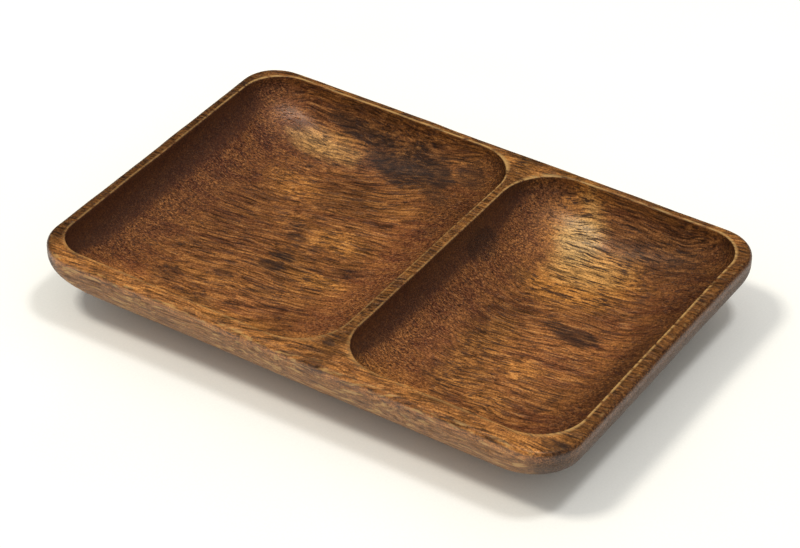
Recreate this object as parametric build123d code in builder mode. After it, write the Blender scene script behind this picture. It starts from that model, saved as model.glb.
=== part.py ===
from build123d import *
import math
import os

# A two-compartment serving tray carved from one block of wood.
# Millimetres, +Z up.  The origin is at the middle of the base, on the table.
# +X runs along the grain, from the large compartment to the small one; -Y is the front.

# Overall block
LENGTH = 305.0
WIDTH = 203.0
HEIGHT = 38.0

# Outside: an upright band under the rim, then walls that draw in to a smaller flat base
RIM_BAND = 6.0
RIM_CORNER = 22.0
END_FLARE = 50.0
SIDE_FLARE = 32.0
FLARE_POWER = 2.2
CORNER_SPREAD = 0.36

# Rim, measured on the flat top
LEFT_RIM = 7.0
RIGHT_RIM = 8.0
FRONT_RIM = 9.0
BACK_RIM = 6.0
DIVIDER = 6.0

# Compartments
SMALL_LENGTH = 124.5
SMALL_FRONT_STEP = 2.5
FLOOR = 12.5
LARGE_END_SLOPE = 54.0
SMALL_END_SLOPE = 44.0
SIDE_SLOPE = 36.0
OUTER_POCKET_CORNER = 21.0
DIVIDER_POCKET_CORNER = 27.0
SLOPE_POWER = 2.3
LARGE_END_POWER = 3.0
CORNER_GROWTH = 0.9

# Worn edges
OUTER_EASE = 2.5
MOUTH_EASE = 1.0

# Levels at which the lofted surfaces are drawn
WALL_STATIONS = (0.0, 0.2, 0.4, 0.6, 0.8, 1.0)
DISH_ANGLES = (0, 6, 17, 28, 40, 52, 64, 76, 90)

# Places that follow from the sizes above
WALL_HEIGHT = HEIGHT - RIM_BAND
POCKET_DEPTH = HEIGHT - FLOOR
LARGE_LENGTH = LENGTH - LEFT_RIM - DIVIDER - SMALL_LENGTH - RIGHT_RIM
LARGE_WIDTH = WIDTH - FRONT_RIM - BACK_RIM
SMALL_WIDTH = LARGE_WIDTH - SMALL_FRONT_STEP
POCKET_BACK = WIDTH / 2 - BACK_RIM
LARGE_CENTRE = (-LENGTH / 2 + LEFT_RIM + LARGE_LENGTH / 2, POCKET_BACK - LARGE_WIDTH / 2)
SMALL_CENTRE = (LENGTH / 2 - RIGHT_RIM - SMALL_LENGTH / 2, POCKET_BACK - SMALL_WIDTH / 2)


def wall_level(station):
    """Outline of the outside at a station, from 1 at the base to 0 under the rim band."""
    draw = station**FLARE_POWER
    end_inset = END_FLARE * draw
    side_inset = SIDE_FLARE * draw
    corner = RIM_CORNER + CORNER_SPREAD * (end_inset + side_inset) / 2
    with BuildSketch(Plane.XY.offset(WALL_HEIGHT * (1 - station))) as level:
        RectangleRounded(LENGTH - 2 * end_inset, WIDTH - 2 * side_inset, corner)
    return level.sketch


def slope_run(sunk, power):
    """Share of a slope's length covered when it has sunk this share of the depth."""
    return 1 - math.sqrt(max(1 - sunk**power, 0))


def dish_level(angle, centre, length, width, end_slope, end_power, left_corner, right_corner):
    """Outline of a compartment at an angle round its hollow, from 0 at the rim to 90 at the floor."""
    sunk = math.sin(math.radians(angle)) ** (2 / SLOPE_POWER)
    run = slope_run(sunk, SLOPE_POWER)
    left_inset = end_slope * slope_run(sunk, end_power)
    right_inset = end_slope * run
    level_length = length - left_inset - right_inset
    level_width = width - 2 * SIDE_SLOPE * run
    growth = CORNER_GROWTH * SIDE_SLOPE * run
    widest_corner = 0.48 * min(level_length, level_width)
    middle = (centre[0] + (left_inset - right_inset) / 2, centre[1])
    with BuildSketch(Plane.XY.offset(HEIGHT - POCKET_DEPTH * sunk)) as level:
        with Locations(middle):
            Rectangle(level_length, level_width)
        fillet(level.vertices().group_by(Axis.X)[0], min(left_corner + growth, widest_corner))
        fillet(level.vertices().group_by(Axis.X)[-1], min(right_corner + growth, widest_corner))
    return level.sketch


def dish_sections(centre, length, width, end_slope, end_power, left_corner, right_corner):
    """Every level of one compartment, from its mouth down to its floor."""
    return [
        dish_level(angle, centre, length, width, end_slope, end_power, left_corner, right_corner)
        for angle in DISH_ANGLES
    ]


large_sections = dish_sections(
    LARGE_CENTRE, LARGE_LENGTH, LARGE_WIDTH, LARGE_END_SLOPE, LARGE_END_POWER,
    OUTER_POCKET_CORNER, DIVIDER_POCKET_CORNER,
)
small_sections = dish_sections(
    SMALL_CENTRE, SMALL_LENGTH, SMALL_WIDTH, SMALL_END_SLOPE, SLOPE_POWER,
    DIVIDER_POCKET_CORNER, OUTER_POCKET_CORNER,
)

with BuildPart() as tray_body:
    # The block: flaring walls, then the upright band and its worn outer edge
    loft(sections=[wall_level(station) for station in reversed(WALL_STATIONS)])
    with BuildSketch(Plane.XY.offset(WALL_HEIGHT)):
        RectangleRounded(LENGTH, WIDTH, RIM_CORNER)
    extrude(amount=RIM_BAND)
    fillet(tray_body.edges().group_by(Axis.Z)[-1], OUTER_EASE)

    # The two compartments, each with the edge of its mouth eased
    for sections in (large_sections, small_sections):
        loft(sections=sections, mode=Mode.SUBTRACT)
        mouth = tray_body.edges(Select.LAST).group_by(Axis.Z)[-1]
        fillet(mouth, MOUTH_EASE)

tray_body.part.label = "tray_body"

os.makedirs("parts", exist_ok=True)
export_step(tray_body.part, "parts/tray_body.step")
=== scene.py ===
import math

import bpy
import numpy as np
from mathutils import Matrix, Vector


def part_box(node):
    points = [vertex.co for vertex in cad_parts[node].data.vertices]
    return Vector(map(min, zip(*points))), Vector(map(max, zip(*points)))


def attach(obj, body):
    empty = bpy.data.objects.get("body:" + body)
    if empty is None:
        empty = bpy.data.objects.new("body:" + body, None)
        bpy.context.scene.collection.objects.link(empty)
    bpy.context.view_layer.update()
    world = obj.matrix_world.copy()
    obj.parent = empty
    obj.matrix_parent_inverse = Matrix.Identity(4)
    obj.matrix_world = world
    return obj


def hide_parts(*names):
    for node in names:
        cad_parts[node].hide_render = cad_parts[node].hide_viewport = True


bl_info = {
    "name": "Carved Two-Compartment Tray",
    "version": (1, 0, 0),
    "blender": (4, 5, 0),
    "location": "View3D > Sidebar > Tray",
    "description": "Carves a hardwood serving tray with a chip hollow and a dip hollow, and sets its stage",
    "category": "Add Mesh",
}

NODE = "tray_body"
BODY = "root"
MM = 0.001

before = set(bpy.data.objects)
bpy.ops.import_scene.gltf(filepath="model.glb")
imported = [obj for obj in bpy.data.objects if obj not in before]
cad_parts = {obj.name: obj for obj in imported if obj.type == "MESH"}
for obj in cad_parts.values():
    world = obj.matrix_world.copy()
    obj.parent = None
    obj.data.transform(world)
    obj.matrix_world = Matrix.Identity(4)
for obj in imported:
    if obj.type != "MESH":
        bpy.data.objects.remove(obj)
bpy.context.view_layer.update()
BLOCK_LOW, BLOCK_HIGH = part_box(NODE)
BLOCK = BLOCK_HIGH - BLOCK_LOW

# Reach is how far a point lies along the tray's section: one unit for each of these stretches,
# from the middle of a compartment's floor, over the rim, to the middle of the base.
FLOOR, DISH, MOUTH, RIM, EDGE, BAND, FLARE, BASE = range(8)
STEPS = {FLOOR: 10, DISH: 40, MOUTH: 5, RIM: 5, EDGE: 6, BAND: 3, FLARE: 24, BASE: 8}
POINT_SPACING = 2.2 * MM
# Radius of compartment corner for which the points are spaced
SPACING_CORNER = 26 * MM
MERGE_DISTANCE = 0.01 * MM

# Share of the divider's half length that runs straight, between the compartments' corners
STRAIGHT_DIVIDER = 0.66


# ----------------------------------------------------------------------------------------
# Sums inside node trees


class Sum:
    """A number or vector worked out by a node tree. The usual operators add the nodes for it."""

    def __init__(self, tree, socket):
        self.tree = tree
        self.socket = socket

    def node(self, kind, *values, **settings):
        """Add a node, set its properties, feed its first inputs and return it."""
        return add_node(self.tree, kind, *values, **settings)

    def math(self, operation, *values):
        node = self.node("ShaderNodeMath", self, *values, operation=operation)
        return Sum(self.tree, node.outputs[0])

    def __add__(self, other):
        return self.math("ADD", other)

    def __sub__(self, other):
        return self.math("SUBTRACT", other)

    def __rsub__(self, other):
        return self.math("MULTIPLY", -1.0).math("ADD", other)

    def __mul__(self, other):
        return self.math("MULTIPLY", other)

    def __truediv__(self, other):
        return self.math("DIVIDE", other)

    def __pow__(self, other):
        return self.math("POWER", other)

    def at_most(self, other):
        return self.math("MINIMUM", other)

    def at_least(self, other):
        return self.math("MAXIMUM", other)

    def sine(self):
        return self.math("SINE")

    def cosine(self):
        return self.math("COSINE")

    def absolute(self):
        return self.math("ABSOLUTE")

    def between(self, low, high, start=0.0, end=1.0, smooth=False):
        """Map low..high onto start..end, held at both ends."""
        node = self.node("ShaderNodeMapRange", self, low, high, start, end)
        node.interpolation_type = "SMOOTHSTEP" if smooth else "LINEAR"
        return Sum(self.tree, node.outputs[0])

    def axes(self):
        """The three numbers of a vector."""
        node = self.node("ShaderNodeSeparateXYZ", self)
        return [Sum(self.tree, output) for output in node.outputs]


def add_node(tree, kind, *values, **settings):
    """Add a node to a tree; plain values set its first inputs and sums are linked to them."""
    node = tree.nodes.new(kind)
    for name, value in settings.items():
        setattr(node, name, value)
    for socket, value in zip(node.inputs, values):
        feed(tree, socket, value)
    return node


def feed(tree, socket, value):
    if isinstance(value, Sum):
        tree.links.new(value.socket, socket)
    elif value is not None:
        socket.default_value = value


def joined(tree, x, y, z=0.0):
    """A vector made of three numbers."""
    node = add_node(tree, "ShaderNodeCombineXYZ", x, y, z)
    return Sum(tree, node.outputs[0])


def mixed(low, high, share):
    """The number between low and high at a share from 0 to 1; share is a sum."""
    return share * (high - low) + low


def noise(tree, place, scale, detail=2.0, roughness=0.5, seed=0.0):
    """Smooth random values from 0 to 1 round 0.5, the same on every run."""
    node = tree.nodes.new("ShaderNodeTexNoise")
    node.noise_dimensions = "4D"
    feed(tree, node.inputs["Vector"], place)
    node.inputs["W"].default_value = seed
    node.inputs["Scale"].default_value = scale
    node.inputs["Detail"].default_value = detail
    node.inputs["Roughness"].default_value = roughness
    return Sum(tree, node.outputs[0])


# ----------------------------------------------------------------------------------------
# Settings a user would change


class TraySizes(bpy.types.PropertyGroup):
    rim_band: bpy.props.FloatProperty(
        name="Rim band", description="Height of the upright band under the rim",
        default=6.0 * MM, unit="LENGTH")
    rim_corner: bpy.props.FloatProperty(
        name="Rim corner", description="Radius of the outside corners in plan",
        default=22.0 * MM, unit="LENGTH")
    end_flare: bpy.props.FloatProperty(
        name="End flare", description="How far each end draws in from the rim to the base",
        default=50.0 * MM, unit="LENGTH")
    side_flare: bpy.props.FloatProperty(
        name="Side flare", description="How far the front and back draw in from the rim to the base",
        default=32.0 * MM, unit="LENGTH")
    left_rim: bpy.props.FloatProperty(
        name="Left rim", description="Width of the rim beside the large compartment",
        default=7.0 * MM, unit="LENGTH")
    right_rim: bpy.props.FloatProperty(
        name="Right rim", description="Width of the rim beside the small compartment",
        default=8.0 * MM, unit="LENGTH")
    front_rim: bpy.props.FloatProperty(
        name="Front rim", description="Width of the front rim at the large compartment",
        default=9.0 * MM, unit="LENGTH")
    back_rim: bpy.props.FloatProperty(
        name="Back rim", description="Width of the back rim",
        default=6.0 * MM, unit="LENGTH")
    divider: bpy.props.FloatProperty(
        name="Divider", description="Thickness of the wall between the compartments at the rim",
        default=6.0 * MM, unit="LENGTH")
    small_length: bpy.props.FloatProperty(
        name="Small compartment", description="Length of the small compartment's mouth",
        default=124.5 * MM, unit="LENGTH")
    small_front_step: bpy.props.FloatProperty(
        name="Small front step", description="Extra width of the front rim at the small compartment",
        default=2.5 * MM, unit="LENGTH")
    floor: bpy.props.FloatProperty(
        name="Floor", description="Thickness of wood under the compartments",
        default=12.5 * MM, unit="LENGTH")
    large_end_slope: bpy.props.FloatProperty(
        name="Large end slope", description="Length of the slopes at the ends of the large compartment",
        default=54.0 * MM, unit="LENGTH")
    small_end_slope: bpy.props.FloatProperty(
        name="Small end slope", description="Length of the slopes at the ends of the small compartment",
        default=44.0 * MM, unit="LENGTH")
    side_slope: bpy.props.FloatProperty(
        name="Side slope", description="Length of the slopes at the front and back of both compartments",
        default=36.0 * MM, unit="LENGTH")
    outer_ease: bpy.props.FloatProperty(
        name="Outer ease", description="Radius worn on the outer edge of the rim",
        default=2.5 * MM, unit="LENGTH")
    mouth_ease: bpy.props.FloatProperty(
        name="Mouth ease", description="Radius worn on the edge of each compartment",
        default=0.9 * MM, unit="LENGTH")
    tool_marks: bpy.props.FloatProperty(
        name="Tool marks", description="Depth of the soft hollows that hand scraping leaves",
        default=0.45 * MM, unit="LENGTH")
    outline_drift: bpy.props.FloatProperty(
        name="Outline drift", description="How far the hand-cut outlines stray from straight",
        default=0.9 * MM, unit="LENGTH")


class WoodFinish(bpy.types.PropertyGroup):
    heartwood: bpy.props.FloatVectorProperty(
        name="Heartwood", description="Main brown of the wood", subtype="COLOR",
        default=(0.156, 0.051, 0.0150))
    golden: bpy.props.FloatVectorProperty(
        name="Golden figure", description="Light figure of the wood", subtype="COLOR",
        default=(0.360, 0.140, 0.026))
    pale_fibre: bpy.props.FloatVectorProperty(
        name="Pale fibres", description="The lightest fibres in the figure", subtype="COLOR",
        default=(0.50, 0.29, 0.095))
    russet: bpy.props.FloatVectorProperty(
        name="Russet figure", description="Red-brown figure of the wood", subtype="COLOR",
        default=(0.102, 0.029, 0.0105))
    dark_streak: bpy.props.FloatVectorProperty(
        name="Dark stains", description="Nearly black stains in the figure", subtype="COLOR",
        default=(0.026, 0.014, 0.010))
    sapwood: bpy.props.FloatVectorProperty(
        name="Outside walls", description="Paler wood of the outside walls",
        subtype="COLOR", default=(0.225, 0.095, 0.021))
    # Painted shade: this dark colour stands in for the shade that falls on the steep left walls
    wall_shade_colour: bpy.props.FloatVectorProperty(
        name="Steep walls", description="Smooth dark tone of the steep left walls of the hollows",
        subtype="COLOR", default=(0.058, 0.020, 0.011))
    pore: bpy.props.FloatVectorProperty(
        name="Pores", description="Colour down inside the pores", subtype="COLOR",
        default=(0.030, 0.011, 0.007))
    roughness: bpy.props.FloatProperty(
        name="Roughness", description="Roughness of the oiled surface",
        default=0.38, min=0.0, max=1.0, subtype="FACTOR")


class StageSettings(bpy.types.PropertyGroup):
    camera_turn: bpy.props.FloatProperty(
        name="Camera turn", description="Turn of the camera round the tray from its front",
        default=math.radians(33.19), subtype="ANGLE")
    camera_rise: bpy.props.FloatProperty(
        name="Camera rise", description="Height of the camera above the table as an angle",
        default=math.radians(37.06), subtype="ANGLE")
    camera_distance: bpy.props.FloatProperty(
        name="Camera distance", description="From the camera to the point it looks at",
        default=1.439, unit="LENGTH")
    lens: bpy.props.FloatProperty(
        name="Lens", description="Focal length in millimetres on a 36 mm sensor", default=132.8)
    table_colour: bpy.props.FloatVectorProperty(
        name="Table", description="Colour of the pale table top", subtype="COLOR",
        default=(0.93, 0.925, 0.88))


# ----------------------------------------------------------------------------------------
# The quads of the tray, before they are given their shape


def span(start, end, count):
    """Evenly spaced values from start to end, without the end."""
    return np.linspace(start, end, count, endpoint=False)


class Ring:
    """The points round one compartment. Each has its place on the compartment's mouth and on the
    outside outline: the middle of the nearest corner, as shares of the half sizes, and a direction
    from there. The outer part comes first, then the part along the divider."""

    def __init__(self):
        self.columns = []

    def add(self, mouth_middle, mouth_way, edge_middle, edge_way, outward):
        """Add a run of points; each argument is a pair of arrays or numbers."""
        pairs = (mouth_middle, mouth_way, edge_middle, edge_way, outward)
        flat = [value for pair in pairs for value in pair]
        self.columns.append(np.stack(np.broadcast_arrays(*flat), axis=1))

    def rows(self):
        return np.concatenate(self.columns)


def half_ring(ring, turn, corner_points, side_points, end_points, tee):
    """The outer part from the divider's back end to the middle of the outer end (turn 1), or from
    there to the divider's front end (turn -1). The second half mirrors the first."""
    runs = []
    quarter = math.pi / 2
    half_corner = quarter / 2 + quarter / 2 * span(0, 1, corner_points // 2)
    share = span(0, tee, corner_points // 2)
    runs.append(((1, 1), (np.cos(half_corner), np.sin(half_corner)),
                 (1 - 2 * share, 1), (1 - share, 1), (0, 1)))
    along = span(0, 1, side_points)
    share = tee + (1 - tee) * along
    runs.append(((1 - 2 * along, 1), (0, 1), (1 - 2 * share, 1), (1 - share, 1), (0, 1)))
    corner = quarter + quarter * span(0, 1, corner_points)
    way = (np.cos(corner), np.sin(corner))
    runs.append(((-1, 1), way, (-1, 1), way, way))
    down = span(1, 0, end_points)
    runs.append(((-1, down), (-1, 0), (-1, down), (-1, 0), (-1, 0)))
    if turn > 0:
        for run in runs:
            ring.add(*run)
    else:
        ring.columns.append(mirrored_rows(runs))


def mirrored_rows(runs):
    """The same runs mirrored to the front, in reverse order, starting at the middle of the end."""
    forward = Ring()
    for run in runs:
        forward.add(*run)
    rows = forward.rows().astype(float)
    middle = np.array([[-1, 0, -1, 0, -1, 0, -1, 0, -1, 0]], float)
    rows = np.concatenate([rows[1:], middle])[::-1]
    rows[:, 1::2] *= -1
    return rows


def divider_runs(ring, corner_points, divider_points):
    """The part along the divider, from its front end to its back end."""
    quarter = math.pi / 2
    half_corner = -quarter / 2 * span(1, 0, corner_points // 2)
    along = span(-1, -STRAIGHT_DIVIDER, corner_points // 2)
    ring.add((1, -1), (np.cos(half_corner), np.sin(half_corner)), (1, along), (1, along), (1, 0))
    along = span(-1, 1, divider_points)
    ring.add((1, along), (1, 0), (1, along * STRAIGHT_DIVIDER), (1, along * STRAIGHT_DIVIDER), (1, 0))
    half_corner = quarter / 2 * span(0, 1, corner_points // 2)
    along = span(STRAIGHT_DIVIDER, 1, corner_points // 2)
    ring.add((1, 1), (np.cos(half_corner), np.sin(half_corner)), (1, along), (1, along), (1, 0))


def compartment_ring(length, width, corner, tee):
    """All points round one compartment, and how many of them belong to its outer part."""
    corner_points = 2 * round(corner * math.pi / 4 / POINT_SPACING)
    side_points = round((length - 2 * corner) / POINT_SPACING)
    end_points = round((width / 2 - corner) / POINT_SPACING)
    ring = Ring()
    half_ring(ring, 1, corner_points, side_points, end_points, tee)
    half_ring(ring, -1, corner_points, side_points, end_points, tee)
    outer = len(ring.rows()) + 1
    divider_runs(ring, corner_points, 2 * end_points)
    return ring.rows(), outer


def reaches(first, last):
    """The levels of the section from one stretch to another, both ends included."""
    levels = [first + 0.0]
    for stretch in range(first, last + 1):
        levels += [stretch + (i + 1) / STEPS[stretch] for i in range(STEPS[stretch])]
    return levels


def ring_quads(ring, levels, closed, cell, start):
    """Point rows and faces for a ring swept along levels; start numbers its first point. The
    second compartment is a mirrored one, so its faces are wound the other way round."""
    count = len(ring)
    rows = [np.column_stack([ring, np.full(count, level), np.full(count, cell)]) for level in levels]
    faces = []
    columns = count if closed else count - 1
    for i in range(len(levels) - 1):
        for j in range(columns):
            k = (j + 1) % count
            quad = (i * count + j, (i + 1) * count + j, (i + 1) * count + k, i * count + k)
            faces.append([start + n for n in (quad[::-1] if cell else quad)])
    return np.concatenate(rows), faces


POINT_VALUES = ("mouth_middle", "mouth_way", "edge_middle", "edge_way", "outward")


def tray_sheet(sizes):
    """A mesh with the tray's quads, all still at one place, and the values that will shape them."""
    divider_x = divider_place(sizes)
    width = BLOCK.y - sizes.front_rim - sizes.back_rim
    rows, faces, start = [], [], 0
    for cell, length in ((0, divider_x - BLOCK_LOW.x), (1, BLOCK_HIGH.x - divider_x)):
        tee = (sizes.divider / 2 + SPACING_CORNER) / (length - sizes.rim_corner)
        mouth_length = length - sizes.left_rim - sizes.divider / 2
        ring, outer = compartment_ring(mouth_length, width, SPACING_CORNER, tee)
        ring = ring.astype(float)
        for part, levels, closed in (
            (ring, reaches(FLOOR, RIM), True),
            (ring[:outer], reaches(EDGE, BASE), False),
        ):
            new_rows, new_faces = ring_quads(part, levels, closed, cell, start)
            rows.append(new_rows)
            faces += new_faces
            start += len(new_rows)
    rows = np.concatenate(rows)
    mesh = bpy.data.meshes.new("tray_sheet")
    mesh.from_pydata(np.zeros((len(rows), 3)).tolist(), [], faces)
    for i, name in enumerate(POINT_VALUES):
        values = np.column_stack([rows[:, 2 * i], rows[:, 2 * i + 1], np.zeros(len(rows))])
        mesh.attributes.new(name, "FLOAT_VECTOR", "POINT").data.foreach_set("vector", values.ravel())
    for i, name in enumerate(("reach", "cell")):
        values = np.ascontiguousarray(rows[:, 10 + i])
        mesh.attributes.new(name, "FLOAT", "POINT").data.foreach_set("value", values)
    return mesh


def divider_place(sizes):
    """X of the middle of the divider."""
    return BLOCK_HIGH.x - sizes.right_rim - sizes.small_length - sizes.divider / 2


# ----------------------------------------------------------------------------------------
# The rule that shapes the quads

DROP_POWER = 2.3
LARGE_END_POWER = 3.2
CORNER_GROWTH = 0.9
FLARE_POWER = 2.2
CORNER_SPREAD = 0.36
WIDEST_CORNER = 0.46

# Radii of each compartment's corners in plan: outer back, divider back, outer front, divider front
LARGE_CORNERS = (22 * MM, 25 * MM, 18 * MM, 29 * MM)
SMALL_CORNERS = (20 * MM, 29 * MM, 25 * MM, 25 * MM)

SHAPE_INPUTS = (
    "length", "width", "height", "rim_band", "rim_corner", "end_flare", "side_flare", "left_rim",
    "right_rim", "front_rim", "back_rim", "divider", "small_length", "small_front_step", "floor",
    "large_end_slope", "small_end_slope", "side_slope", "outer_ease", "mouth_ease", "tool_marks",
    "outline_drift",
)


class ShapeRule:
    """Builds the node tree that turns the sheet of quads into the carved tray."""

    def __init__(self, material):
        self.tree = bpy.data.node_groups.new("Carved Tray", "GeometryNodeTree")
        self.tree.is_modifier = True
        interface = self.tree.interface
        interface.new_socket("Geometry", in_out="INPUT", socket_type="NodeSocketGeometry")
        interface.new_socket("Geometry", in_out="OUTPUT", socket_type="NodeSocketGeometry")
        self.sockets = {}
        for name in SHAPE_INPUTS:
            title = name.replace("_", " ").capitalize()
            socket = interface.new_socket(title, in_out="INPUT", socket_type="NodeSocketFloat")
            socket.subtype = "DISTANCE"
            self.sockets[name] = socket.identifier
        self.entry = self.tree.nodes.new("NodeGroupInput")
        self.leave = self.tree.nodes.new("NodeGroupOutput")
        for socket, name in zip(self.entry.outputs[1:], SHAPE_INPUTS):
            setattr(self, name, Sum(self.tree, socket))
        self.reach = self.attribute("reach", "FLOAT")
        self.cell = self.attribute("cell", "FLOAT")
        self.finish(self.place(), material)

    def attribute(self, name, kind="FLOAT_VECTOR"):
        node = self.tree.nodes.new("GeometryNodeInputNamedAttribute")
        node.data_type = kind
        node.inputs["Name"].default_value = name
        return Sum(self.tree, node.outputs["Attribute"])

    def share(self, stretch):
        """How far a point is through one stretch of the section, from 0 to 1."""
        return (self.reach - float(stretch)).at_least(0.0).at_most(1.0)

    def by_cell(self, large, small):
        """A value that differs between the two compartments."""
        return mixed(large, small, self.cell)

    def corner_radius(self, middle_x, middle_y):
        """Radius of the compartment's nearest corner, blended along the sides between corners."""
        back_outer, back_inner, front_outer, front_inner = (
            mixed(large, small, self.cell) for large, small in zip(LARGE_CORNERS, SMALL_CORNERS)
        )
        inwards = middle_x * 0.5 + 0.5
        backwards = middle_y * 0.5 + 0.5
        front = mixed(front_outer, front_inner, inwards)
        back = mixed(back_outer, back_inner, inwards)
        return mixed(front, back, backwards)

    def run(self, sunk, power):
        """How far in a slope has come, as a share of its length, when it has sunk this share."""
        return 1.0 - (1.0 - sunk ** power).at_least(0.0).math("SQRT")

    def hollow(self):
        """Place of a point on the floor, the dish or the eased mouth. X counts from the divider."""
        middle_x, middle_y, _ = self.attribute("mouth_middle").axes()
        way_x, way_y, _ = self.attribute("mouth_way").axes()
        quarter = math.pi / 2
        angle = (1.0 - self.share(DISH)) * quarter
        turn = self.share(MOUTH) * quarter
        ease_run = (1.0 - turn.cosine()) * self.mouth_ease
        sunk = angle.sine() ** (2 / DROP_POWER)
        run = self.run(sunk, DROP_POWER)
        steepness = middle_y.between(-0.2, 0.95, LARGE_END_POWER, DROP_POWER, smooth=True)
        outer_run = self.run(sunk, self.by_cell(steepness, DROP_POWER))
        depth = self.height - self.floor - self.mouth_ease
        drop = sunk * depth + (1.0 - turn.sine()) * self.mouth_ease
        large_length = (self.length - self.left_rim - self.divider - self.small_length
                        - self.right_rim)
        length = self.by_cell(large_length, self.small_length)
        step = self.small_front_step * self.cell
        width = self.width - self.front_rim - self.back_rim - step
        end_slope = self.by_cell(self.large_end_slope, self.small_end_slope)
        half_x = (length - end_slope * (run + outer_run)) * 0.5 + ease_run
        half_y = width * 0.5 - self.side_slope * run + ease_run
        growth = self.side_slope * run * CORNER_GROWTH
        radius = self.corner_radius(middle_x, middle_y) + growth + ease_run
        radius = radius.at_most(half_x * 2.0 * WIDEST_CORNER).at_most(half_y * 2.0 * WIDEST_CORNER)
        spread = self.share(FLOOR)
        x = (middle_x * (half_x - radius) + way_x * radius) * spread
        y = (middle_y * (half_y - radius) + way_y * radius) * spread
        centre_x = end_slope * (outer_run - run) * 0.5 - (self.divider + length) * 0.5
        centre_y = (self.front_rim - self.back_rim + step) * 0.5
        return x + centre_x, y + centre_y, self.height - drop

    def outside(self):
        """Place of a point on the rim's outer edge, the walls or the base, as for the hollow."""
        middle_x, middle_y, _ = self.attribute("edge_middle").axes()
        way_x, way_y, _ = self.attribute("edge_way").axes()
        turn = self.share(EDGE) * (math.pi / 2)
        ease_run = (1.0 - turn.sine()) * self.outer_ease
        draw = self.share(FLARE) ** FLARE_POWER
        end_inset = self.end_flare * draw + ease_run
        side_inset = self.side_flare * draw + ease_run
        drop = ((1.0 - turn.cosine()) * self.outer_ease
                + self.share(BAND) * (self.rim_band - self.outer_ease)
                + self.share(FLARE) * (self.height - self.rim_band))
        radius = (self.rim_corner - ease_run
                  + draw * (self.end_flare + self.side_flare) * (CORNER_SPREAD / 2))
        small_reach = self.right_rim + self.small_length + self.divider * 0.5
        reach_x = self.by_cell(self.length - small_reach, small_reach)
        half_x = (reach_x - end_inset) * 0.5
        half_y = self.width * 0.5 - side_inset
        shrink = 1.0 - self.share(BASE)
        x = (middle_x * (half_x - radius) + way_x * radius - half_x) * shrink
        y = (middle_y * (half_y - radius) + way_y * radius) * shrink
        return x, y, self.height - drop

    def drift(self, x, y, z):
        """Hand work: outlines that stray from straight, and soft hollows in every carved face."""
        tree = self.tree
        place = joined(tree, x, y, z)
        mouth_x, mouth_y, _ = self.attribute("mouth_way").axes()
        out_x, out_y, _ = self.attribute("outward").axes()
        side = 1.0 - self.cell * 2.0
        edge_share = self.share(RIM)
        mouth_share = (1.0 - edge_share) * self.share(DISH)
        on_divider = out_x.at_least(0.0)
        edge_drift = noise(tree, place, 9.0, 1.0, seed=3.1).between(0.3, 0.7) * self.outline_drift
        edge_drift = edge_drift * edge_share * (1.0 - self.share(BASE)) * (1.0 - on_divider)
        mouth_drift = (noise(tree, place, 14.0, 1.0, seed=7.7) - 0.5) * self.outline_drift * mouth_share
        move_x = (mouth_x * mouth_drift * 1.6 - out_x * edge_drift) * side
        move_y = mouth_y * mouth_drift * 1.6 - out_y * edge_drift
        scoop = (noise(tree, place, 26.0, 2.0, 0.45, seed=1.3) - 0.5) * self.tool_marks * 2.0
        scoop = scoop * (1.0 - self.share(DISH) ** 3.0)
        wear = noise(tree, place, 40.0, 2.0, seed=5.9).between(0.35, 0.8) * self.tool_marks
        wear = wear * (self.share(MOUTH) * (1.0 - self.share(BAND)))
        return x + move_x, y + move_y, z + scoop - wear

    def place(self):
        """Final place of every point."""
        hollow, outside = self.hollow(), self.outside()
        rim = self.share(RIM)
        x, y, z = (mixed(near, far, rim) for near, far in zip(hollow, outside))
        side = 1.0 - self.cell * 2.0
        divider_x = (self.length * 0.5 - self.right_rim - self.small_length
                     - self.divider * 0.5)
        x, y, z = self.drift(x * side + divider_x, y, z)
        return joined(self.tree, x, y, z)

    def finish(self, place, material):
        """Set the points, weld the seams and give the block its wood."""
        tree = self.tree
        moved = add_node(tree, "GeometryNodeSetPosition")
        tree.links.new(self.entry.outputs[0], moved.inputs["Geometry"])
        feed(tree, moved.inputs["Position"], place)
        welded = add_node(tree, "GeometryNodeMergeByDistance")
        welded.inputs["Distance"].default_value = MERGE_DISTANCE
        tree.links.new(moved.outputs[0], welded.inputs["Geometry"])
        smooth = add_node(tree, "GeometryNodeSetShadeSmooth")
        tree.links.new(welded.outputs[0], smooth.inputs["Geometry"])
        real = add_node(tree, "GeometryNodeRealizeInstances")
        tree.links.new(smooth.outputs[0], real.inputs["Geometry"])
        painted = add_node(tree, "GeometryNodeSetMaterial")
        painted.inputs["Material"].default_value = material
        tree.links.new(real.outputs[0], painted.inputs["Geometry"])
        tree.links.new(painted.outputs[0], self.leave.inputs[0])
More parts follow.
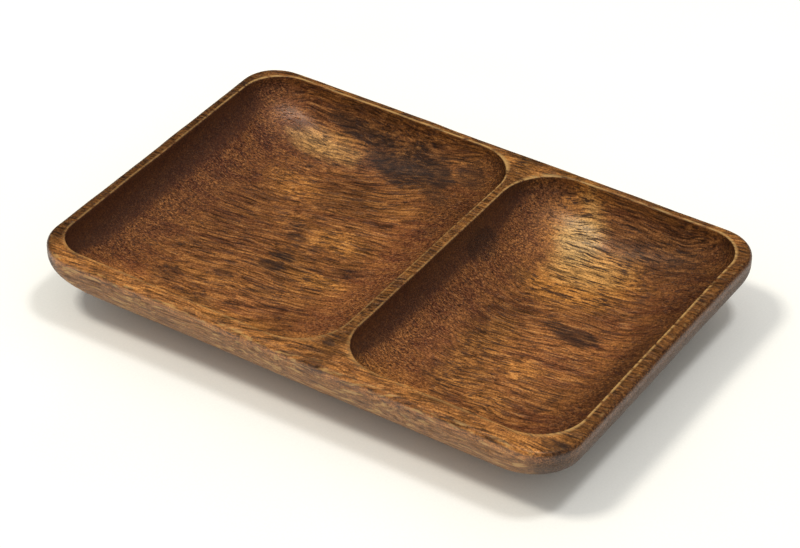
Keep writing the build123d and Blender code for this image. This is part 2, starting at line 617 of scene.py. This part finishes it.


# ----------------------------------------------------------------------------------------
# Wood

# All these places are given one by one. Dark stains: middle x and y, half length and half width in
# millimetres, turn in degrees and strength
DARK_STAINS = (
    (-80, 90, 24, 3, -3, 0.75),
    (-54, 80, 16, 9, -8, 0.85),
    (-12, 86, 12, 6, -20, 0.6),
    (-36, 84, 18, 8, -12, 0.85),
    (-24, 70, 10, 5, -25, 0.6),
    (-10, 41, 6, 6, 60, 0.4),
    (-70, 13, 5, 4, 0, 0.55),
    (-65, 5, 6, 4, 0, 0.6),
    (-61, -12, 8, 3.2, 4, 1.0),
    (-63, -21, 8, 4.5, 10, 0.9),
    (-54, -40, 6, 3.5, 0, 0.5),
    (-76, -64, 8, 4.5, 0, 0.5),
    (-79, -40, 5, 4, 0, 0.45),
    (-102, -58, 7, 9, 20, 0.45),
    (-24, -6, 11, 5, 15, 0.4),
    (94, 12, 12, 6, 4, 0.9),
    (82, 15, 6, 3.5, 0, 0.7),
    (26, 38, 5, 10, 0, 0.6),
    (46, 38, 6, 6, 0, 0.4),
    (110, -42, 2, 11, -10, 0.45),
    (53, -48, 8, 9, 20, 0.3),
    (66, -62, 6, 5, 0, 0.35),
    (15, -84, 3, 2.5, 0, 0.8),
    (143, -90, 8, 4, 0, 0.7),
)

# Pale golden figure, as for the stains
GOLDEN_FIGURE = (
    (-45, 13, 20, 9, 8, 0.5),
    (-34, -20, 15, 5, 5, 0.6),
    (-92, 42, 16, 9, -8, 0.5),
    (-92, 78, 18, 9, 0, 0.55),
    (-60, -78, 60, 12, 0, 0.45),
    (56, 78, 15, 22, 20, 1.0),
    (78, 62, 24, 18, 0, 0.8),
    (72, 42, 22, 13, 0, 0.8),
    (84, -24, 12, 8, 0, 0.5),
    (62, -30, 12, 34, 0, 0.4),
    (60, -78, 34, 12, 0, 0.6),
    (84, -54, 12, 9, 10, 0.5),
)

# The palest figure, as for the stains; at the back-left corners of the hollows it is partly painted sheen
PALE_FIGURE_AND_SHEEN = (
    (60, 76, 11, 16, 18, 0.85),
    (72, 62, 18, 14, 0, 0.45),
    (-98, 76, 18, 8, 0, 0.4),
)

# Broad darker zones of the hollows, as for the stains: partly the wood's darker tone, partly painted shade
DARK_TONE_AND_SHADE_ZONES = (
    (-104, 0, 16, 40, 0, 0.3),
    (138, 0, 12, 60, 0, 0.5),
    (122, -82, 18, 12, 0, 0.65),
    (72, -40, 8, 7, 0, 0.3),
    (-28, 0, 8, 26, 0, 0.2),
    (-12, 62, 12, 12, 0, 0.4),
    (-98, 6, 8, 12, 0, 0.3),
    (-74, 90, 28, 7, 0, 0.7),
    (-62, 48, 18, 15, 0, 0.5),
    (-56, -14, 12, 14, 0, 0.45),
    (14, 80, 9, 15, 0, 0.8),
    (-50, 82, 30, 12, -8, 0.65),
    (56, -2, 11, 30, 0, 0.5),
    (104, 82, 34, 13, 0, 0.65),
    (134, 60, 12, 34, 0, 0.5),
)

# Broad lighter zones of the hollows, as for the stains: partly the wood's lighter tone, partly painted
# light
LIGHT_TONE_AND_LIGHT_ZONES = (
    (-91, 38, 12, 10, 0, 0.2),
    (-9, -18, 15, 62, 0, 0.7),
    (-130, 84, 13, 12, 0, 0.3),
    (2, -70, 16, 20, 0, 0.5),
    (30, -50, 6, 30, 0, 0.3),
    (84, 74, 10, 6, 0, 0.4),
    (42, 64, 8, 16, 0, 0.3),
    (-84, 84, 26, 6, 0, 0.3),
    (62, -76, 16, 10, 0, 0.35),
    (-26, 36, 10, 14, 0, 0.5),
    (112, 6, 9, 24, 0, 0.4),
    (88, -12, 16, 26, 0, 0.5),
    (-112, -70, 18, 10, 0, 0.5),
    (42, -40, 9, 34, 0, 0.35),
    (68, -78, 30, 14, 0, 0.7),
    (112, -58, 12, 10, 0, 0.3),
    (-56, -58, 14, 10, 0, 0.4),
    (2, -56, 8, 22, 0, 0.4),
)


def grain_place(tree, place):
    """A place in the wood with its grain straightened: X runs along the pores."""
    turned = add_node(tree, "ShaderNodeMapping", place)
    turned.inputs["Rotation"].default_value = (0.0, math.radians(2.0), math.radians(-9.0))
    x, y, z = Sum(tree, turned.outputs[0]).axes()
    swing = (noise(tree, joined(tree, x, y * 0.8, z), 11.0, 1.0, seed=4.0) - 0.5) * 0.030
    curl = (noise(tree, joined(tree, x, y * 1.3, z), 36.0, 2.0, seed=8.0) - 0.5) * 0.0055
    lift = (noise(tree, place, 16.0, 1.0, seed=12.0) - 0.5) * 0.020
    return x, y + swing + curl, z + lift + curl


def ragged_edge(tree, place):
    """Random values round 0 that break up the edges of patches along the grain."""
    x, y, _ = place.axes()
    streaks = noise(tree, joined(tree, x * 0.30, y), 240.0, 3.0, 0.65, seed=21.0) - 0.5
    return streaks * 1.5 + (noise(tree, place, 60.0, 1.0, seed=23.0) - 0.5) * 0.8


def patches(place, ragged, spots, softness=0.5):
    """Ragged patches from a list of middles, half sizes, turns and strengths."""
    x, y, _ = place.axes()
    total = None
    for middle_x, middle_y, half_x, half_y, turn, strength in spots:
        cosine, sine = math.cos(math.radians(turn)), math.sin(math.radians(turn))
        away_x, away_y = x - middle_x * MM, y - middle_y * MM
        along = (away_x * cosine + away_y * sine) / (half_x * MM)
        across = (away_y * cosine - away_x * sine) / (half_y * MM)
        reach = (along * along + across * across).math("SQRT") + ragged
        patch = reach.between(1.0 + softness / 2, 1.0 - softness / 2, 0.0, strength, smooth=True)
        total = patch if total is None else total.at_least(patch)
    return total


def blend(tree, share, first, second, mode="MIX"):
    """Mix two colours, each a colour setting or a sum."""
    node = tree.nodes.new("ShaderNodeMix")
    node.data_type = "RGBA"
    node.blend_type = mode
    feed(tree, node.inputs["Factor"], share)
    for name, value in (("A", first), ("B", second)):
        socket = [s for s in node.inputs if s.name == name and s.type == "RGBA"][0]
        feed(tree, socket, value if isinstance(value, Sum) else (*value, 1.0))
    return Sum(tree, [s for s in node.outputs if s.type == "RGBA"][0])


def surface_value(tree, name, output="Fac"):
    """A value carried by the tray's own mesh."""
    node = tree.nodes.new("ShaderNodeAttribute")
    node.attribute_name = name
    return Sum(tree, node.outputs[output])


WOOD_SHEEN = 0.6
RELIEF_STRENGTH = 0.7
RELIEF_DEPTH = 0.25 * MM


class OiledWood:
    """Oiled hardwood whose pores and figure run along X through the whole block."""

    def __init__(self, finish, divider_x):
        self.finish = finish
        self.material = bpy.data.materials.new("oiled_acacia")
        self.material.use_nodes = True
        self.tree = self.material.node_tree
        coordinates = self.tree.nodes.new("ShaderNodeTexCoord")
        self.place = Sum(self.tree, coordinates.outputs["Object"])
        self.place_x, self.place_y, _ = self.place.axes()
        self.normal_x = Sum(self.tree, coordinates.outputs["Normal"]).axes()[0]
        self.reach = surface_value(self.tree, "reach")
        self.ragged = ragged_edge(self.tree, self.place)
        self.mark_parts(divider_x)
        self.mark_walls()
        self.lay_grain()
        self.set_surface(self.colour())

    def patches(self, spots, softness=0.5):
        return patches(self.place, self.ragged, spots, softness)

    def blend(self, share, first, second, mode="MIX"):
        return blend(self.tree, share, first, second, mode)

    def mark_parts(self, divider_x):
        """Shares from 0 to 1 that tell the hollows, the rim and the outside apart."""
        reach = self.reach
        self.outside = reach.between(BAND + 0.3, FLARE + 0.4, smooth=True)
        self.on_rim = reach.between(MOUTH + 0.3, RIM + 0.1)
        self.hollow = 1.0 - self.on_rim
        self.rim = self.on_rim * (1.0 - self.outside)
        self.on_divider = (self.place_x - divider_x).absolute().between(9.0 * MM, 4.0 * MM) * self.rim
        # Pale line on the eased inner arris, kept to the back and right: partly paler worn wood, partly
        # painted highlight
        edge_wear_and_highlight = reach.between(MOUTH + 0.2, MOUTH + 0.6) * reach.between(RIM + 0.2, RIM)
        back = self.place_y.between(30.0 * MM, 90.0 * MM, 0.45, 1.0)
        right = self.place_x.between(120.0 * MM, 140.0 * MM)
        self.edge_wear_and_highlight = edge_wear_and_highlight * back.at_least(right)

    def mark_walls(self):
        """Shares for the faces that cut across the grain and for the painted shade on the steep left walls.
        """
        tree, normal_x = self.tree, self.normal_x
        end_side = surface_value(tree, "mouth_way", "Vector").axes()[0].absolute().between(0.35, 0.9)
        slope = self.reach.between(DISH + 0.1, DISH + 0.45, smooth=True)
        across = normal_x.absolute().between(0.08, 0.45)
        self.end_grain = across.at_least(end_side * slope * self.hollow)
        # Painted shade on the steep walls that face +X, short of the back
        steep_left = (normal_x - surface_value(tree, "cell") * 0.15).between(0.42, 0.58, smooth=True)
        before_back = self.place_y.between(88.0 * MM, 72.0 * MM, smooth=True)
        self.painted_wall_shade = steep_left * self.hollow * before_back

    def lay_grain(self):
        """Broad figure, fibres and pores, with shorter marks where a face cuts across them."""
        tree = self.tree
        x, y, z = grain_place(tree, self.place)
        long, along, cut = (joined(tree, x * share, y, z) for share in (0.12, 0.09, 0.36))
        self.zones = noise(tree, joined(tree, x * 0.45, y, z), 26.0, 3.0, 0.55, seed=2.0)
        self.bands = noise(tree, long, 230.0, 3.0, 0.6, seed=6.0)
        self.mottle = noise(tree, self.place, 1250.0, 2.0, 0.7, seed=19.0)
        self.fibres = mixed(noise(tree, along, 740.0, 3.0, 0.72, seed=9.0),
                            noise(tree, cut, 1300.0, 3.0, 0.72, seed=10.0), self.end_grain)
        pores = mixed(noise(tree, long, 900.0, 1.0, 0.5, seed=14.0),
                      noise(tree, cut, 1200.0, 1.0, 0.5, seed=15.0), self.end_grain)
        self.pits = pores.between(0.565, 0.605)
        self.chips = noise(tree, joined(tree, x * 0.16, y, z), 430.0, 3.0, 0.6, seed=31.0)
        self.golden = (self.zones.between(0.42, 0.66) * 0.25 + self.bands.between(0.40, 0.66) * 0.35
                       + self.patches(GOLDEN_FIGURE, 0.9) * 0.9 + self.rim * 0.35).at_most(1.0)

    def figure(self):
        """The wood's broad colours, before the fibres."""
        finish = self.finish
        russet = (self.bands.between(0.55, 0.36) * 0.5 + self.end_grain * 0.6).at_most(1.0)
        colour = self.blend(russet, finish.heartwood, finish.russet)
        colour = self.blend(self.golden * (1.0 - self.end_grain * 0.4), colour, finish.golden)
        colour = self.blend(self.patches(PALE_FIGURE_AND_SHEEN, 1.0) * self.hollow, colour, finish.pale_fibre)
        return self.blend(self.outside * 0.8, colour, finish.sapwood)

    def tone(self):
        """How bright each part of the tray is against plain wood, as a factor, with painted shade and light
        in the hollows.
        """
        place_x, place_y, reach = self.place_x, self.place_y, self.reach
        hollow, rim = self.hollow, self.rim
        ends = place_x.absolute().between(138.0 * MM, 146.0 * MM, smooth=True) * rim
        left_end = place_x.between(-138.0 * MM, -146.0 * MM) * rim
        back_rim = place_y.between(93.0 * MM, 97.0 * MM) * rim
        front_rim = place_y.between(-80.0 * MM, -92.0 * MM) * rim
        outside_ends = self.outside * self.end_grain
        right_walls = (0.0 - self.normal_x).between(0.05, 0.4) * hollow
        # Painted shade at the top of the slopes, just under the mouth
        painted_mouth_shade = reach.between(DISH + 0.75, MOUTH) * hollow
        tone = 1.0 - self.patches(DARK_TONE_AND_SHADE_ZONES, 1.0) * hollow * 0.6
        tone = tone * (self.patches(LIGHT_TONE_AND_LIGHT_ZONES, 1.0) * hollow * 0.8 + 1.0)
        tone = tone * (1.0 - ends * 0.5) * (1.0 - outside_ends * 0.75) * (1.0 - left_end * 0.3)
        tone = tone * (1.0 - back_rim * 0.4) * (front_rim * 0.08 + 1.0)
        tone = tone * (1.0 - self.on_divider * 0.45)
        return tone * (1.0 - right_walls * 0.25) * (1.0 - painted_mouth_shade * 0.25)

    def pale_marks(self, tone):
        """Share of pale fibre: in the figure, on worn arrises, where it is also a painted highlight at the
        back and right, and in chips of the outer edge.
        """
        pale = self.fibres.between(0.53, 0.68) * self.mottle.between(0.35, 0.6) * tone * 0.5
        near_edge = self.reach.between(RIM + 0.8, EDGE + 0.4)
        chipped = self.chips.between(0.54, 0.62) * near_edge * (1.0 - self.end_grain)
        # Worn arris, partly painted highlight
        worn = self.edge_wear_and_highlight * self.chips.between(0.38, 0.52) * 0.85
        return pale.at_least(worn).at_least(chipped * 0.75)

    def colour(self):
        """The finished colour: figure, fibres, pale marks, painted shade on the steep walls, stains and
        pores.
        """
        finish, fibres, tone = self.finish, self.fibres, self.tone()
        shade = fibres.between(0.37, 0.63, 0.26, 1.74) * self.mottle.between(0.3, 0.7, 0.35, 1.65) * tone
        shade = mixed(shade, tone, self.outside * 0.4)
        colour = self.blend(1.0, self.figure(), joined(self.tree, shade, shade, shade), "MULTIPLY")
        colour = self.blend(self.pale_marks(tone), colour, finish.pale_fibre)
        # Paint shade onto the steep left walls
        colour = self.blend(self.painted_wall_shade * 0.7, colour, finish.wall_shade_colour)
        stain = self.patches(DARK_STAINS) * (1.0 - self.outside) * fibres.between(0.38, 0.66, 1.0, 0.55)
        colour = self.blend(stain, colour, finish.dark_streak)
        holes = self.pits * (self.golden * 0.55 + 0.3)
        holes = holes * (1.0 - self.on_rim * 0.6) * (1.0 - self.painted_wall_shade * 0.8)
        return self.blend(holes, colour, finish.pore)

    def set_surface(self, colour):
        """Give the shader its colour, its roughness and the relief of fibres and pores."""
        tree = self.tree
        shader = tree.nodes["Principled BSDF"]
        tree.links.new(colour.socket, shader.inputs["Base Color"])
        rough = self.fibres.between(0.3, 0.7, 0.05, -0.05) + self.pits * 0.2 + self.outside * 0.15
        tree.links.new((rough + self.finish.roughness).socket, shader.inputs["Roughness"])
        shader.inputs["Specular IOR Level"].default_value = WOOD_SHEEN
        bump = tree.nodes.new("ShaderNodeBump")
        bump.inputs["Strength"].default_value = RELIEF_STRENGTH
        bump.inputs["Distance"].default_value = RELIEF_DEPTH
        relief = self.fibres * 0.35 - self.pits * 0.5 + self.mottle * 0.3
        tree.links.new(relief.socket, bump.inputs["Height"])
        tree.links.new(bump.outputs[0], shader.inputs["Normal"])


# ----------------------------------------------------------------------------------------
# Operators


class TRAY_OT_carve(bpy.types.Operator):
    """Carve the tray out of the block and oil it"""

    bl_idname = "tray.carve"
    bl_label = "Carve tray"

    def execute(self, context):
        sizes = context.scene.tray_sizes
        wood = OiledWood(context.scene.tray_finish, divider_place(sizes))
        rule = ShapeRule(wood.material)
        sheet = bpy.data.objects.new("tray_sheet", tray_sheet(sizes))
        context.collection.objects.link(sheet)
        modifier = sheet.modifiers.new("Carved Tray", "NODES")
        modifier.node_group = rule.tree
        overall = {"length": BLOCK.x, "width": BLOCK.y, "height": BLOCK.z}
        for name, identifier in rule.sockets.items():
            modifier[identifier] = overall[name] if name in overall else getattr(sizes, name)
        context.view_layer.update()
        evaluated = sheet.evaluated_get(context.evaluated_depsgraph_get())
        mesh = bpy.data.meshes.new_from_object(evaluated)
        bpy.data.objects.remove(sheet)
        tray = bpy.data.objects.new("carved_tray", mesh)
        context.collection.objects.link(tray)
        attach(tray, BODY)
        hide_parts(NODE)
        return {"FINISHED"}


class TRAY_OT_stage(bpy.types.Operator):
    """Set the pale table, the lamps and the camera round the tray"""

    bl_idname = "tray.stage"
    bl_label = "Set stage"

    def execute(self, context):
        settings = context.scene.tray_stage
        lay_table(settings)
        hang_lamps()
        set_camera(context.scene, settings)
        context.scene.view_settings.view_transform = "Standard"
        return {"FINISHED"}


TABLE_HALF = 3.0


def lay_table(settings):
    """A wide pale table top at the height of the tray's base."""
    mesh = bpy.data.meshes.new("table_top")
    signs = ((-1, -1), (1, -1), (1, 1), (-1, 1))
    corners = [(x * TABLE_HALF, y * TABLE_HALF, BLOCK_LOW.z) for x, y in signs]
    mesh.from_pydata(corners, [], [(0, 1, 2, 3)])
    table = bpy.data.objects.new("table_top", mesh)
    bpy.context.collection.objects.link(table)
    material = bpy.data.materials.new("pale_table")
    material.use_nodes = True
    tree = material.node_tree
    shader = tree.nodes["Principled BSDF"]
    coordinates = tree.nodes.new("ShaderNodeTexCoord")
    place = Sum(tree, coordinates.outputs["Object"])
    weave = noise(tree, place, 900.0, 2.0, 0.6, seed=41.0)
    clouds = noise(tree, place, 9.0, 2.0, 0.5, seed=43.0)
    tone = weave.between(0.3, 0.7, 0.975, 1.025) * clouds.between(0.3, 0.7, 0.985, 1.015)
    colour = blend(tree, 1.0, settings.table_colour, joined(tree, tone, tone, tone), "MULTIPLY")
    tree.links.new(colour.socket, shader.inputs["Base Color"])
    tree.links.new(weave.between(0.3, 0.7, 0.82, 0.95).socket, shader.inputs["Roughness"])
    mesh.materials.append(material)


# Each lamp: name, way to it from the tray, size, power, colour, and whether it lights surfaces
# and whether it gives glare
LAMPS = (
    ("left_lamp", (-15.0, -11.0, 38.0), 0.78, 72.0, (1.0, 0.96, 0.88), True, False),
    ("right_lamp", (8.8, 5.4, 38.0), 0.66, 47.0, (1.0, 1.0, 1.0), True, False),
    ("sheen_lamp", (-5.0, 2.0, 38.0), 0.6, 26.0, (1.0, 0.95, 0.86), False, True),
)
LAMP_DISTANCE = 4.0
ROOM_COLOUR = (1.0, 0.99, 0.96, 1.0)
ROOM_LIGHT = 0.56


def hang_lamps():
    """Two soft lamps that light the tray without glare, one that gives only its sheen, and an
    even pale room that lights it too."""
    for name, way, size, power, colour, lights, glares in LAMPS:
        light = bpy.data.lights.new(name, "AREA")
        light.size = size
        light.energy = power
        light.color = colour
        lamp = bpy.data.objects.new(name, light)
        direction = Vector(way).normalized()
        lamp.location = direction * LAMP_DISTANCE
        lamp.rotation_euler = direction.to_track_quat("Z", "Y").to_euler()
        lamp.visible_diffuse = lights
        lamp.visible_glossy = glares
        bpy.context.collection.objects.link(lamp)
    world = bpy.context.scene.world or bpy.data.worlds.new("room")
    bpy.context.scene.world = world
    world.use_nodes = True
    background = world.node_tree.nodes["Background"]
    background.inputs["Color"].default_value = ROOM_COLOUR
    background.inputs["Strength"].default_value = ROOM_LIGHT
    world.cycles_visibility.glossy = False


# The point the camera looks at, in the plane of the rim
AIM_X = 13.9 * MM
AIM_Y = -20.2 * MM


def set_camera(scene, settings):
    """The camera, looking down on the tray from its front right."""
    turn, rise = settings.camera_turn, settings.camera_rise
    back = Vector((math.sin(turn) * math.cos(rise), -math.cos(turn) * math.cos(rise), math.sin(rise)))
    aim = Vector((AIM_X, AIM_Y, BLOCK_HIGH.z))
    data = bpy.data.cameras.new("view_camera")
    data.lens = settings.lens
    camera = bpy.data.objects.new("view_camera", data)
    camera.location = aim + back * settings.camera_distance
    camera.rotation_euler = back.to_track_quat("Z", "Y").to_euler()
    scene.collection.objects.link(camera)
    scene.camera = camera


class TRAY_PT_panel(bpy.types.Panel):
    """Buttons that carve the tray and set its stage"""

    bl_idname = "TRAY_PT_panel"
    bl_label = "Carved Tray"
    bl_space_type = "VIEW_3D"
    bl_region_type = "UI"
    bl_category = "Tray"

    def draw(self, context):
        layout = self.layout
        for group in (context.scene.tray_sizes, context.scene.tray_finish, context.scene.tray_stage):
            column = layout.column(align=True)
            for name in group.bl_rna.properties.keys():
                if name not in ("rna_type", "name"):
                    column.prop(group, name)
        for operator in (TRAY_OT_carve, TRAY_OT_stage):
            layout.operator(operator.bl_idname)


CLASSES = (TraySizes, WoodFinish, StageSettings, TRAY_OT_carve, TRAY_OT_stage, TRAY_PT_panel)


def register():
    for cls in CLASSES:
        bpy.utils.register_class(cls)
    bpy.types.Scene.tray_sizes = bpy.props.PointerProperty(type=TraySizes)
    bpy.types.Scene.tray_finish = bpy.props.PointerProperty(type=WoodFinish)
    bpy.types.Scene.tray_stage = bpy.props.PointerProperty(type=StageSettings)


def unregister():
    del bpy.types.Scene.tray_stage
    del bpy.types.Scene.tray_finish
    del bpy.types.Scene.tray_sizes
    for cls in reversed(CLASSES):
        bpy.utils.unregister_class(cls)


def main():
    register()
    bpy.ops.tray.carve()
    bpy.ops.tray.stage()


if __name__ == "__main__":
    main()
